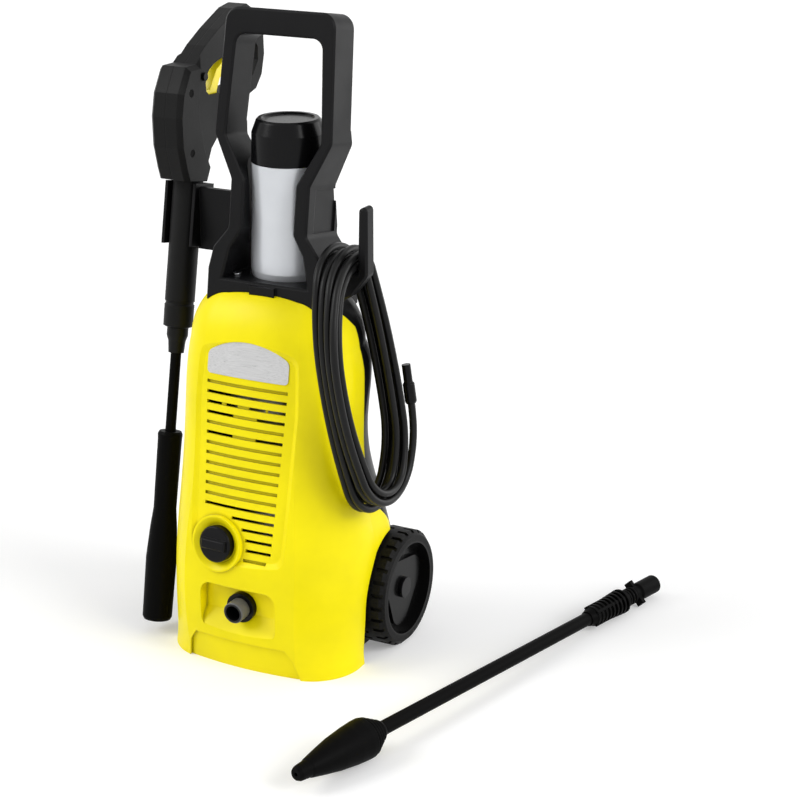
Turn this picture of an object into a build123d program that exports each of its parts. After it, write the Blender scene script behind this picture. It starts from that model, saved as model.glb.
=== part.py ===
from build123d import *
import os
from math import ceil, cos, floor, radians, sin, sqrt, tan

# Upright electric pressure washer with its hose, its gun and two lances.
# Millimetres, +Z up, front towards -Y, origin on the floor in the machine's middle plane.

# Casing
WALL = 3.0
LEAN = 9.0                # degrees that the front face leans back
PANEL_Y = -26.2           # front of the face, at the height below
PANEL_Z = 174.2
CASING_BACK = 118.0
FRONT_BOW = 5.0
FLAT_SHARE = 0.6          # bowed front over the half width
ROUND_HIGH = 54.0
ROUND_DEEP = 44.0
# Level cross-sections at even steps: half width, front, length of a front corner, rear end of the flat side,
# half width of the flat back
RING_STEP = 66.0
FOOT_RING = (105.0, -30.0, 60.0, 92.0, 84.0)
BELLY_RING = (106.0, -38.0, 98.0, 94.0, 84.0)
HIP_RING = (104.0, -32.9, 95.0, 94.0, 83.0)
WAIST_RING = (96.0, -22.4, 72.0, 66.0, 62.0)
CHEST_RING = (93.0, -11.9, 58.0, 66.0, 54.0)
NECK_RING = (89.0, -1.4, 54.0, 68.0, 52.0)

# Front panel
PANEL_X = -2.5
RECESS_DEEP = 3.0
RECESS_CORNER = 9.0
RIM_SLOPE = 2.0           # width of the recess's soft rim over its depth
SLOT_PITCH = 10.23
SLOT_WIDE = 3.2
SLOT_COUNT = 13
SLOT_HALF_TOP = 46.0
SLOT_HALF_LOW = 40.5
SHORT_SLOTS = 5
GROOVE_DEEP = 2.2
BADGE_HALF = 46.0
BADGE_HIGH = 36.0
BADGE_THICK = 1.6
BADGE_CORNER = 4.0

# Switch knob, on the front panel
KNOB_X = -21.5
KNOB_TURN = 4.0           # degrees, to follow the bowed front
KNOB_UP = -39.0           # along the panel, from the lowest full slot
KNOB_R = 18.6
KNOB_THICK = 9.0
KNOB_SUNK = -1.0
GRIP_BAR_HIGH = 4.5
COLLAR_R = 29.0
COLLAR_PROUD = 2.0
COLLAR_SINK = 4.0
COLLAR_BACK = 8.0
SPINDLE_R = 3.0
SWITCH_WIDE = 34.0
SWITCH_DEEP = 22.0

# Outlet pocket and ports
POCKET_HALF = 43.0
POCKET_LOW = 42.0
POCKET_TOP = 93.0
POCKET_FLOOR = -22.0
OUTLET_Z = 69.0
OUTLET_TIP = -44.0
OUTLET_R = 11.0
OUTLET_BORE_R = 8.0
OUTLET_BORE_LONG = 22.0
OUTLET_RING_R = 15.5
OUTLET_RING_THICK = 7.0
INLET_Z = 80.0
INLET_R = 11.0
INLET_TIP = 146.0
INLET_BORE_R = 7.0
FILTER_LONG = 18.0

# Wheels
WHEEL_R = 61.0
WHEEL_LIFT = 0.2
WHEEL_Y = 104.0
WHEEL_IN = 88.0
WHEEL_OUT = 123.0
RIM_R = 48.0
RIM_DEEP = 12.0
TRIANGLE_R = 60.0         # corners of the raised disc, before rounding
SHIELD_PROUD = 4.0
HUB_R = 13.0
AXLE_R = 5.0
RUN_FIT = 0.05
TREADS = 28
ARCH_GAP = 5.0
WELL_X = 84.0

# Handle
HANDLE_LEAN = 9.37
HANDLE_Y = 30.0           # front of the handle, at the height below
HANDLE_Z = 390.0
HANDLE_TOP = 264.5        # along the lean
BRIDGE_TOP = HANDLE_Z + 1
BRIDGE_SCREWS = [Plane((x, 50, 0)) for x in (-42, 42)]
UPRIGHT_DEEP = 40.0
SADDLE_DEEP = 64.0        # depth of the part round the bottle
WAIST_HALF = 44.0
WAIST_LOW = 52.0          # along the lean
WAIST_TOP = 100.0
ARM = 15.4                # thickness of the waist, seen from the front
TOP_BAR = 25.0
TOP_CORNER = 15.0
EDGE_BREAK = 2.0
SEAT_GAP = 0.2

# Detergent bottle
BOTTLE_Y = 85.0
BOTTLE_SEAT = 386.5
BOTTLE_R_LOW = 40.0
BOTTLE_R_TOP = 37.0
BOTTLE_TOP = 503.0
BOTTLE_WALL = 1.6
LID_TOP = 546.0
LID_R_TOP = 32.0
BOTTLE_LIFT = 60.0
BAY_GAP = 1.0
VALVE_R = 9.0
SUCTION_R = 4.0

# Hose hook and hose
HOSE_R = 3.8
HOSE_PITCH = 9.0          # turn to turn
LAYER_STEP = 8.9
HOSE_LAYERS = 4
TURNS_A_LAYER = 2
HOSE_X = 70.6             # first layer, where it lies over the hook
COIL_TOP = (45.0, 436.0)
COIL_FRONT = (-20.0, 330.0)
COIL_LOW = (37.0, 169.0)
COIL_BACK = (105.5, 262.0)
LEAN_OUT_FRONT = 17.0     # the casing's side pushes the lower turns outwards
LEAN_OUT_BACK = 30.0
LEAN_OUT_LOW = 40.0
LAYER_LIFT = 5.5
BEND_SHARE = 43.0         # degrees that the wide arc of a quarter turns where both of its legs are equal
FITTING_R = 6.0
FITTING_LONG = 40.0
HOOK_FRONT = 34.0
HOOK_BACK = 49.5
HOOK_THICK = 10.5
HOOK_TIP = 482.0

# Gun and its lance, stored along a leaning line at the left side
LANCE_X = -127.0
LANCE_Y = 7.9
LANCE_Z = 18.7
LANCE_LEAN = 11.37
SLEEVE_LONG = 202.0
SLEEVE_LOW = -5.0
LANCE_TUBE_R = 5.5
BARREL_R = 15.4
BARREL_FROM = 308.0
BARREL_TO = 458.0
SPIGOT_R = 10.0
SPIGOT_LONG = 12.0
GUN_HALF = 18.0
CHEEK_HALF = 11.0
CHEEK_FLARE = 9.0         # length of the slope between the front bulge and the cheeks
GUN_SCREWS = [(80, 500, GUN_HALF), (82, 560, GUN_HALF), (160, 606, CHEEK_HALF), (214, 612, CHEEK_HALF),
              (180, 541, CHEEK_HALF)]
VALVE_BODY_R = 8.0
VALVE_BODY_LONG = 56.0
ROD_R = 2.0
ROD_UP = 18.5
TRIGGER_HALF = 6.5
TRIGGER_PIN_R = 2.5
PIN_HOLD = 3.5            # length of the pin in each half of the gun
PIVOT = (140.0, 541.0)    # trigger pin in the gun's plane: Y, Z
LOCK_AT = (116.0, 571.0)
LOCK_R = 4.0
LOCK_PROUD = 3.0
JAW = 3.2
JAW_GAP = 0.35

# Rotary lance lying on the floor
BLASTER_TIP = (170.0, -215.0)
BLASTER_TURN = 14.6       # degrees from the Y axis
BLASTER_DIP = 0.82
BLASTER_UP = 21.6
HEAD_R = 20.0
HEAD_LONG = 113.0
BLASTER_TUBE_R = 7.0
BLASTER_TUBE_TO = 437.0
GRIP_TO = 503.0
GRIP_HALF = 13.5
BLASTER_TO = 560.0

# Drive and pump, standing upright inside the casing
UNIT_Y = 48.0
BASE_THICK = 5.0
POST_WIDE = 10.0          # posts between the base plate and the pump
POST_OUT = 24.0
HEAD_LOW = 48.0
HEAD_HALF = 35.0
PUMP_LOW = 92.0
PUMP_R = 42.0
PISTON_R = 8.0
PISTON_RING = 20.0
PISTONS = 3
CHAMBER_FLOOR = 120.0
MOTOR_LOW = 150.0
MOTOR_TOP = 300.0
MOTOR_R = 44.0
MOTOR_WALL = 3.0
PLATE = 8.0
SHAFT_R = 6.0
BEARING_R = 13.0
ROTOR_R = 27.3
STATOR_R = 28.0
STATOR_LOW = 175.0
STATOR_TOP = 265.0
FAN_R = 36.0
FAN_HIGH = 14.0
FAN_BLADES = 7
CAPACITOR_R = 16.0
CAPACITOR_LOW = 180.0
CAPACITOR_HIGH = 70.0
SCREW_R = 2.0
SCREW_HEAD_R = 4.0
SCREW_HEAD = 2.0

# Net pocket, cable gland and screws at the back
SCREW_PLACES = [(x, z) for x in (-48, 48) for z in (40, 108, 165)]
GLAND_AT = (40.0, 140.0)
GLAND_R = 8.0
NET_HALF = 64.0
NET_LOW = 190.0
NET_TOP = 340.0
NET_BULGE = 28.0
NET_WALL = 2.0

FAR = 600.0               # longer than any piece
NODES = {}
os.makedirs("parts", exist_ok=True)


def keep(name, shape):
    """Write a piece, one solid or a group of solids, under its own name."""
    solids = shape.solids()
    NODES[name] = solids[0] if len(solids) == 1 else Compound(solids)
    export_step(NODES[name], f"parts/{name}.step")


def leaning(origin, degrees_back):
    """A plane facing the front, leaning back, with local x to the right and local y up along it."""
    lean = radians(degrees_back)
    return Plane(origin=origin, x_dir=(1, 0, 0), z_dir=(0, -cos(lean), sin(lean)))


def turned(points, place=Plane.XY):
    """A round piece from its (radius, height) corners, standing on a plane."""
    outline = Polyline(*[(r, 0, h) for r, h in points], close=True)
    return place.location * revolve(make_face(outline), Axis.Z)


def rod(r, low, high, place=Plane.XY):
    """A plain cylinder between two heights over a plane."""
    return place.location * (Pos(0, 0, (low + high) / 2) * Cylinder(r, high - low))


def tube(r_out, r_in, low, high, place=Plane.XY):
    return rod(r_out, low, high, place) - rod(r_in, low, high, place)


def prism(points, plane, low, high):
    """A straight-sided piece from corner points on a plane, between two distances from it."""
    face = make_face(Polyline(*points, close=True))
    return plane.location * (Pos(0, 0, low) * extrude(face, high - low))


def side_prism(points, low_x, high_x):
    """A piece drawn in side view, (Y, Z), and carried from one X to another."""
    return prism(points, Plane.YZ, low_x, high_x)


def block(x, y, z):
    """A box from its three (low, high) pairs."""
    size = (x[1] - x[0], y[1] - y[0], z[1] - z[0])
    return Pos((x[0] + x[1]) / 2, (y[0] + y[1]) / 2, (z[0] + z[1]) / 2) * Box(*size)


def both_sides(shape):
    return shape + mirror(shape, about=Plane.YZ)


# Casing form
RINGS = (FOOT_RING, BELLY_RING, HIP_RING, WAIST_RING, CHEST_RING, NECK_RING)
ROUND_FROM = RING_STEP * (len(RINGS) - 1)   # height where the top begins to round over
PANEL = leaning((PANEL_X, PANEL_Y, PANEL_Z), LEAN)
WHEEL_Z = WHEEL_R + WHEEL_LIFT
ARCH_R = WHEEL_R + ARCH_GAP
CASING_TOP = ROUND_FROM + ROUND_HIGH
ROUND_STEPS = (0, 21, 42, 63, 84)


def casing_ring(height, half, front, corner_run, side_end, back_half, inset, rounding=0.0):
    """One level outline of the casing, moved in all round by inset and by the top's rounding."""
    narrower = (half - inset - rounding) / half
    half = half * narrower
    back_half = back_half * narrower
    side_end = side_end + 0.25 * rounding
    front = front + inset + 0.7 * rounding
    back = CASING_BACK - inset - 0.7 * rounding
    bow_x, bow_y = FLAT_SHARE * half, front + FRONT_BOW
    side_start = front - inset + corner_run - rounding
    corner = (bow_x + 0.7 * (half - bow_x), bow_y + 0.32 * (side_start - bow_y))
    rear = (back_half + 0.62 * (half - back_half), side_end + 0.62 * (back - side_end))

    def at(x, y):
        return (x, y, height)

    edges = [
        ThreePointArc(at(-bow_x, bow_y), at(0, front), at(bow_x, bow_y)),
        ThreePointArc(at(bow_x, bow_y), at(*corner), at(half, side_start)),
        Line(at(half, side_start), at(half, side_end)),
        ThreePointArc(at(half, side_end), at(*rear), at(back_half, back)),
        Line(at(back_half, back), at(-back_half, back)),
        ThreePointArc(at(-back_half, back), at(-rear[0], rear[1]), at(-half, side_end)),
        Line(at(-half, side_end), at(-half, side_start)),
        ThreePointArc(at(-half, side_start), at(-corner[0], corner[1]), at(-bow_x, bow_y)),
    ]
    return make_face(edges)


def casing(inset):
    """The whole casing as a solid, moved in by inset."""
    lower = loft([casing_ring(index * RING_STEP, *ring, inset) for index, ring in enumerate(RINGS)])
    half, front, corner_run, side_end, back_half = NECK_RING
    outlines = []
    for step in ROUND_STEPS:
        turn = radians(step)
        rise = ROUND_HIGH * sin(turn)
        rounding = ROUND_DEEP * (1 - cos(turn))
        height = ROUND_FROM + rise - inset * sin(turn)
        lean_back = front + rise * tan(radians(LEAN))
        ring = (half, lean_back, corner_run, side_end, back_half)
        outlines.append(casing_ring(height, *ring, inset, rounding))
    return lower + loft(outlines)


def arch(r, inner_x):
    """The space of both wheels: round the wheel, and down and back from its middle."""
    round_part = Plane.YZ.location * (Pos(WHEEL_Y, WHEEL_Z, inner_x) * extrude(Circle(r), FAR))
    lower = block((inner_x, inner_x + FAR), (WHEEL_Y - r, WHEEL_Y + FAR), (-FAR, WHEEL_Z))
    return both_sides(round_part + lower)


def front_region():
    """The part of the casing that the front shell covers, in side view."""
    over_wheel = (WHEEL_Y - 7, WHEEL_Z + sqrt(ARCH_R ** 2 - 49))
    shoulder = [(over_wheel[0] + 2, over_wheel[1] + 8), (91, 144), (81, 154), (62, 163)]
    edge = [(60, 188), (62, 246), (65, 307), (60, 352), (34, 384), (20, CASING_TOP + WALL)]
    front = [(-FAR, CASING_TOP + WALL), (-FAR, -WALL), (WHEEL_Y - ARCH_R, -WALL)]
    return side_prism(front + [(WHEEL_Y - ARCH_R, WHEEL_Z), over_wheel] + shoulder + edge, -FAR, FAR)


OUTER = casing(0)
INNER = casing(WALL)
FRONT = front_region()
WELLS = arch(ARCH_R, WELL_X)
WELL_WALLS = arch(ARCH_R + WALL, WELL_X - WALL)
FLOOR_CASING = casing(RECESS_DEEP)


def panel_prism(points, low=-FAR / 4, high=FAR / 4):
    return prism(points, PANEL, low, high)


def recess_outline(wider, taller):
    """The long shallow recess round the vent slots, in panel coordinates."""
    right = [(47, -56 - taller), (54, 40), (57, 100), (53, 165 + taller)]
    right = [(x + wider, y) for x, y in right]
    face = make_face(Polyline(*right, *[(-x, y) for x, y in reversed(right)], close=True))
    ordered = face.vertices().sort_by(Axis.Y)
    return fillet(ordered[:2] + ordered[-2:], RECESS_CORNER)


def recess():
    """Cutter of the recess, with leaning walls for a soft rim."""
    outlines = []
    for level in (-12.0, 6.0):
        wider = RIM_SLOPE * (level + FRONT_BOW + RECESS_DEEP / 2)
        taller = RIM_SLOPE * (level + RECESS_DEEP / 2)
        outlines.append(Pos(0, 0, level) * recess_outline(wider, taller))
    return PANEL.location * loft(outlines)


def slot_spans(index):
    """The open stretches of one long slot, counted from the top; None for a blind groove."""
    return {1: [(-1, 1)], 2: [(-1, -0.62), (-0.5, -0.2), (0.1, 0.5), (0.56, 1)], 3: [(-1, -0.3), (0.3, 1)],
            5: [(-1, -0.3), (0.3, 1)], 12: [(-1, 1)]}.get(index)


def slot_cutters():
    """Through slots and blind grooves of the front panel."""
    through, blind = [], []

    def slot(left, right, up):
        low, high = up - SLOT_WIDE / 2, up + SLOT_WIDE / 2
        return panel_prism([(left, low), (right, low), (right, high), (left, high)], -30, 30)

    for index in range(SLOT_COUNT):
        up = (SLOT_COUNT - 1 - index) * SLOT_PITCH
        half = SLOT_HALF_TOP + (SLOT_HALF_LOW - SLOT_HALF_TOP) * index / (SLOT_COUNT - 1)
        blind.append(slot(-half, half, up))
        for left, right in slot_spans(index) or []:
            through.append(slot(left * half, right * half, up))
    for index in range(SHORT_SLOTS):
        up = -(index + 1) * SLOT_PITCH
        left = KNOB_X + sqrt((COLLAR_R + 3) ** 2 - (up - KNOB_UP) ** 2)
        right = SLOT_HALF_LOW - 0.5 * (index + 1)
        if index == SHORT_SLOTS - 1:
            blind.append(slot(left, right - 4, up))
        else:
            through.append(slot(left, right, up))
    return through, blind


def knob_place():
    turn = radians(KNOB_TURN)
    facing = PANEL.z_dir * cos(turn) - PANEL.x_dir * sin(turn)
    return Plane(origin=PANEL.from_local_coords((KNOB_X, KNOB_UP, KNOB_SUNK)),
                 x_dir=PANEL.x_dir * cos(turn) + PANEL.z_dir * sin(turn), z_dir=facing)


def pocket(grow):
    """The pocket round the outlet: deep under its roof, running out at its lower edge."""
    low, top, floor = POCKET_LOW - grow, POCKET_TOP + grow, POCKET_FLOOR + grow
    side = side_prism([(-FAR, low), (-38, low), (floor - 2, 62), (floor, top), (-FAR, top)], -FAR, FAR)
    outline = fillet(Rectangle(2 * (POCKET_HALF + grow), top - low).vertices(), 12 + grow)
    face = Pos(0, 0, (top + low) / 2) * (Plane.XZ * outline)
    return side & extrude(face, FAR, both=True)


def toe_notch():
    """The shallow step at the front's lower edge."""
    outline = Polyline((-66, -WALL), (-60, 22), (-52, 34), (52, 34), (60, 22), (66, -WALL), close=True)
    return extrude(Plane.XZ * make_face(outline), FAR)


def badge_outline(half, low, high):
    """A plate with a straight foot and an arched head, in panel coordinates."""
    shoulder = low + 0.6 * (high - low)
    sides = Polyline((-half, shoulder), (-half, low), (half, low), (half, shoulder))
    head = ThreePointArc((half, shoulder), (0, high), (-half, shoulder))
    face = make_face(sides.edges() + head.edges())
    ordered = face.vertices().sort_by(Axis.Y)
    face = fillet(ordered[:2], BADGE_CORNER)
    return fillet(face.vertices().sort_by(Axis.Y)[-2:], 2 * BADGE_CORNER)


def make_front_shell():
    deeper = casing(RECESS_DEEP + WALL)
    toe_back = casing(2 * WALL)
    pad = PANEL.location * (Pos(0, 0, -30) * extrude(recess_outline(2 * WALL, 2 * WALL), 60))
    knob = knob_place()
    notch = toe_notch()
    shell = (OUTER & FRONT) - INNER
    shell += (pad & INNER) - deeper
    shell += ((notch & INNER) - toe_back) & FRONT
    shell += pocket(WALL) & OUTER
    shell -= recess() - FLOOR_CASING
    shell -= notch - INNER
    shell += rod(COLLAR_R, -COLLAR_BACK, COLLAR_PROUD, knob)
    dish = [(0, -COLLAR_SINK), (KNOB_R + 1, -COLLAR_SINK), (KNOB_R + 1.5, -COLLAR_SINK + 1),
            (COLLAR_R - 2, COLLAR_PROUD), (COLLAR_R - 2, FAR / 10), (0, FAR / 10)]
    shell -= turned(dish, knob)
    shell -= rod(SPINDLE_R + 0.5, -COLLAR_BACK - WALL, 0, knob) + switch_box(0.3)
    shell -= pocket(0)
    through, blind = slot_cutters()
    groove_back = casing(RECESS_DEEP + GROOVE_DEEP)
    shell -= through
    shell -= [cut - groove_back for cut in blind]
    badge_low = (SLOT_COUNT - 1) * SLOT_PITCH + 8.5
    badge = Pos(0, 0, -30) * extrude(badge_outline(BADGE_HALF, badge_low, badge_low + BADGE_HIGH), 60)
    badge = PANEL.location * badge
    seat = casing(RECESS_DEEP + BADGE_THICK / 2)
    shell -= badge - seat
    keep("badge_plate", (badge & casing(RECESS_DEEP - BADGE_THICK / 2)) - seat)
    outlet = Plane(origin=(0, 0, OUTLET_Z), x_dir=(1, 0, 0), z_dir=(0, -1, 0))
    before_pump = block((-30, 30), (-80, UNIT_Y - HEAD_HALF), (0, 120))
    shell -= rod(OUTLET_R + 0.3, -FAR, FAR, outlet) & before_pump
    shell -= WELLS
    keep("front_shell", shell)


def make_rear_shell():
    liner = (casing(WALL + 0.3) & WELL_WALLS) - WELLS
    hollow = INNER - WELL_WALLS
    shell = ((OUTER - FRONT) - hollow - WELLS) + (liner & FRONT)
    shell -= rod(AXLE_R + RUN_FIT, -FAR, FAR, Plane(origin=(0, WHEEL_Y, WHEEL_Z), z_dir=(1, 0, 0)))
    back = Plane(origin=(0, CASING_BACK, 0), x_dir=(-1, 0, 0), z_dir=(0, 1, 0))
    for x, z in SCREW_PLACES:
        shell -= rod(SCREW_R + 0.1, -2 * WALL, WALL, Plane(origin=(x, CASING_BACK, z), z_dir=back.z_dir))
    shell -= rod(INLET_R + 0.3, -20, 20, Plane(origin=(0, CASING_BACK, INLET_Z), z_dir=back.z_dir))
    gland = Plane(origin=(GLAND_AT[0], CASING_BACK, GLAND_AT[1]), z_dir=back.z_dir)
    shell -= rod(GLAND_R + 0.1, -20, 20, gland)
    shell -= rod(SUCTION_R + 1, CASING_TOP - 30, CASING_TOP + 5, Plane((0, BOTTLE_Y, 0)))
    shell -= [rod(SCREW_R + 0.1, CASING_TOP - 30, CASING_TOP + 5, place) for place in BRIDGE_SCREWS]
    keep("rear_shell", shell)


def make_base_plate():
    """The floor of the machine, with four posts under the pump."""
    inside = casing(WALL + 0.2) - arch(ARCH_R + WALL + 0.2, WELL_X - WALL - 0.2)
    plate = inside & block((-FAR, FAR), (-FAR, FAR), (0, BASE_THICK))
    plate -= ((toe_notch() & casing(WALL)) - casing(2 * WALL + 0.2))
    half = POST_WIDE / 2
    for x in (-POST_OUT, POST_OUT):
        for y in (UNIT_Y - POST_OUT, UNIT_Y + POST_OUT):
            plate += block((x - half, x + half), (y - half, y + half), (BASE_THICK - 1, HEAD_LOW))
    keep("base_plate", plate)


def switch_box(gap):
    half = SWITCH_WIDE / 2 + gap
    depth = (-COLLAR_BACK - SWITCH_DEEP, -COLLAR_BACK)
    return knob_place().location * block((-half, half), (-half, half), depth)


def make_knob():
    place = knob_place()
    low = -COLLAR_SINK + 0.3
    top = low + KNOB_THICK
    knob = turned([(0, low), (KNOB_R, low), (KNOB_R, top - 1.5), (KNOB_R - 1.5, top), (0, top)], place)
    bar = Pos(0, 0, top - 1) * extrude(Rectangle(1.56 * KNOB_R, 0.58 * KNOB_R), GRIP_BAR_HIGH)
    knob += place.location * chamfer(bar.faces().sort_by(Axis.Z)[-1].edges(), 1.5)
    knob += rod(SPINDLE_R, -COLLAR_BACK - 4, low + 1, place)
    keep("switch_knob", knob)
    switch = switch_box(0) - rod(SPINDLE_R + 0.4, -COLLAR_BACK - 5, 0, place)
    keep("switch_body", switch)


def make_ports():
    """Outlet at the front and garden-hose inlet at the back."""
    front = Plane(origin=(0, 0, OUTLET_Z), x_dir=(1, 0, 0), z_dir=(0, -1, 0))
    tip = -OUTLET_TIP
    pump_face = -(UNIT_Y - HEAD_HALF)
    stub_back = -POCKET_FLOOR - 2 * WALL
    stub = [(0, stub_back), (OUTLET_R, stub_back), (OUTLET_R, tip - 1), (OUTLET_R - 1, tip), (0, tip)]
    keep("outlet_fitting", turned(stub, front) - rod(OUTLET_BORE_R, tip - OUTLET_BORE_LONG, tip + 1, front))
    ring_back = -POCKET_FLOOR + 1
    ring = tube(OUTLET_RING_R, OUTLET_R + 0.1, ring_back, ring_back + OUTLET_RING_THICK, front)
    keep("outlet_ring", ring - casing_pocket_back())
    keep("outlet_pipe", tube(OUTLET_R - 2, OUTLET_BORE_R - 2, pump_face, stub_back, front))
    back = Plane(origin=(0, 0, INLET_Z), x_dir=(-1, 0, 0), z_dir=(0, 1, 0))
    pump_back = UNIT_Y + HEAD_HALF
    stub = [(0, pump_back), (INLET_R, pump_back), (INLET_R, INLET_TIP - 1.5), (INLET_R - 1.5, INLET_TIP),
            (0, INLET_TIP)]
    inlet = turned(stub, back)
    for step in range(3):
        at = INLET_TIP - 6 - 4 * step
        inlet -= tube(INLET_R + 1, INLET_R - 0.9, at - 1.6, at, back)
    keep("inlet_fitting", inlet - rod(INLET_BORE_R, pump_back - 1, INLET_TIP + 1, back))
    filter_end = CASING_BACK - FILTER_LONG
    cup = tube(INLET_BORE_R - 0.05, INLET_BORE_R - 1.5, filter_end, CASING_BACK, back)
    keep("inlet_filter", cup + rod(INLET_BORE_R - 0.05, filter_end - 1, filter_end, back))


def casing_pocket_back():
    """What lies behind the pocket's floor, so that a ring can sit flat on it."""
    low, top = POCKET_LOW, POCKET_TOP
    side = [(POCKET_FLOOR - 2, 62), (POCKET_FLOOR, top), (FAR, top), (FAR, low), (-38, low)]
    return side_prism(side, -FAR, FAR)


def make_wheels():
    """One-piece wheels with blocks on the tread and a raised three-cornered disc, on one steel axle."""
    hub_face = WHEEL_OUT - RIM_DEEP + SHIELD_PROUD
    side = Plane(origin=(0, WHEEL_Y, WHEEL_Z), x_dir=(0, 1, 0), z_dir=(1, 0, 0))
    tread = 3.0
    wheel = turned([(0, WHEEL_IN), (WHEEL_R - 4, WHEEL_IN), (WHEEL_R, WHEEL_IN + 4), (WHEEL_R, WHEEL_OUT - 5),
                    (WHEEL_R - 5, WHEEL_OUT), (0, WHEEL_OUT)])
    web_low, web_high = WHEEL_OUT - RIM_DEEP - 7, WHEEL_OUT - RIM_DEEP
    wheel -= rod(RIM_R, web_high, WHEEL_OUT + 1) + tube(RIM_R, HUB_R, WHEEL_IN - 1, web_low)
    wheel += rod(HUB_R, WHEEL_IN, hub_face)
    turns = [radians(angle) for angle in (20, 140, 260)]
    corners = [(TRIANGLE_R * cos(turn), TRIANGLE_R * sin(turn)) for turn in turns]
    shield = fillet(make_face(Polyline(*corners, close=True)).vertices(), 0.32 * TRIANGLE_R)
    wheel += Pos(0, 0, web_low) * extrude(shield, web_high - web_low + SHIELD_PROUD)
    groove = Box(2 * tread, 4.2, 15)
    for index in range(TREADS):
        outer = Rot(0, 0, index * 360 / TREADS) * Pos(WHEEL_R, 0, WHEEL_OUT - 6.5) * groove
        inner_row = Rot(0, 0, (index + 0.5) * 360 / TREADS) * Pos(WHEEL_R, 0, WHEEL_IN + 6.5) * groove
        wheel -= outer + inner_row
    wheel -= rod(AXLE_R + RUN_FIT, WHEEL_IN - 1, WHEEL_OUT)
    right = side.location * wheel
    keep("right_wheel", right)
    keep("left_wheel", mirror(right, about=Plane.YZ))
    end = hub_face + 3
    axle = rod(AXLE_R, -end, end, side)
    for low, high in ((WELL_X + 0.1, WHEEL_IN - 0.3), (-WHEEL_IN + 0.3, -WELL_X - 0.1)):
        axle += rod(AXLE_R + 3, low, high, side)
    keep("wheel_axle", axle)
    cap = rod(HUB_R - 2, hub_face + 0.3, end + 1.5, side) - rod(AXLE_R, 0, end, side)
    keep("axle_caps", Compound([cap.solid(), mirror(cap, about=Plane.YZ).solid()]))


# Handle
HANDLE = leaning((0, HANDLE_Y, HANDLE_Z), HANDLE_LEAN)


def handle_face():
    """Front view of the handle, along its lean: a loop, a narrow waist and wide feet."""
    outer = [(64.5, -30), (64.7, 10), (60.0, 32), (WAIST_HALF, WAIST_LOW), (WAIST_HALF, WAIST_TOP), (65, 142),
             (60, HANDLE_TOP)]
    inner = [(48, 2), (41, 32), (WAIST_HALF - ARM, WAIST_LOW), (WAIST_HALF - ARM, WAIST_TOP), (53, 142),
             (47, HANDLE_TOP - TOP_BAR)]

    def loop(points, corner, top_corner):
        face = make_face(Polyline(*points, *[(-x, y) for x, y in reversed(points)], close=True))
        ordered = face.vertices().sort_by(Axis.Y)
        face = fillet(ordered[2:-2], corner)
        return fillet(face.vertices().sort_by(Axis.Y)[-2:], top_corner)

    return loop(outer, 9, TOP_CORNER) - loop(inner, 7, TOP_CORNER - 4)


def soft_edged(face, depth):
    """A plate of the face's shape behind its plane, with its long edges broken."""
    plate = Pos(0, 0, -depth) * extrude(face, depth)
    ends = plate.faces().sort_by(Axis.Z)
    return chamfer(ends[0].edges() + ends[-1].edges(), EDGE_BREAK)


def make_handle():
    """Loop handle; its lower part is deeper and stands round the bottle."""
    face = handle_face()
    frame = soft_edged(face, UPRIGHT_DEEP)
    slope = [(-40, 0), (-40, -SADDLE_DEEP), (WAIST_LOW, -SADDLE_DEEP), (WAIST_TOP + 55, -UPRIGHT_DEEP + 1),
             (WAIST_TOP + 55, 0)]
    deep = soft_edged(face, SADDLE_DEEP) & prism(slope, Plane.YZ, -FAR, FAR)
    panel = block((WAIST_HALF - 2, FAR), (WAIST_LOW + 3, WAIST_TOP - 3), (-SADDLE_DEEP + 8, -14))
    frame = HANDLE.location * (frame + deep - both_sides(panel))
    bridge = block((-60, 60), (HANDLE_Y + 2, 112), (CASING_TOP - 25, BRIDGE_TOP))
    tab = block((-14, 14), (HANDLE_Y - 4, HANDLE_Y + 12), (CASING_TOP - 12, BRIDGE_TOP - 2))
    frame += bridge + tab
    frame -= rod(BOTTLE_R_LOW + BAY_GAP, BOTTLE_SEAT, LID_TOP + BOTTLE_LIFT + 5, Plane((0, BOTTLE_Y, 0)))
    frame -= rod(SUCTION_R + 0.5, CASING_TOP - 30, BOTTLE_SEAT + 1, Plane((0, BOTTLE_Y, 0)))
    frame -= casing(-SEAT_GAP)
    frame -= [rod(SCREW_R + 0.1, CASING_TOP - 30, BRIDGE_TOP + 1, place) for place in BRIDGE_SCREWS]
    frame -= [rod(SCREW_HEAD_R + 0.3, BRIDGE_TOP, BRIDGE_TOP + 10, place) for place in BRIDGE_SCREWS]
    keep("handle_frame", frame)
    end, top = CASING_TOP - 12, BRIDGE_TOP + SCREW_HEAD
    screw = [(0, end), (SCREW_R, end), (SCREW_R, BRIDGE_TOP), (SCREW_HEAD_R, BRIDGE_TOP),
             (SCREW_HEAD_R, top), (0, top)]
    keep("handle_screws", group([turned(screw, place) for place in BRIDGE_SCREWS]))


def make_hook():
    """Broad hook at the right foot of the handle; the hose lies in it."""
    finger = HOSE_X + (HOSE_LAYERS - 1) * LAYER_STEP + HOSE_R + 0.9
    saddle = COIL_TOP[1] - 1.75 * HOSE_PITCH - HOSE_R - 2.2
    outer = finger + HOOK_THICK
    points = [(60, 384), (80, 382), (95, 390), (outer, 412), (outer, HOOK_TIP), (finger + 1.5, HOOK_TIP - 6),
              (finger, saddle), (60, saddle)]
    face = make_face(Polyline(*points, close=True))
    face = fillet([v for v in face.vertices() if v.Y > HOOK_TIP - 8], 4)
    face = fillet([v for v in face.vertices() if v.Y < saddle - 1 and v.X > 90], 9)
    hook = Pos(0, HOOK_BACK, 0) * extrude(Plane.XZ * face, HOOK_BACK - HOOK_FRONT)
    hook = chamfer(hook.faces().filter_by(Axis.Y).edges(), EDGE_BREAK)
    keep("hose_hook", hook - foot_block())


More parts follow.
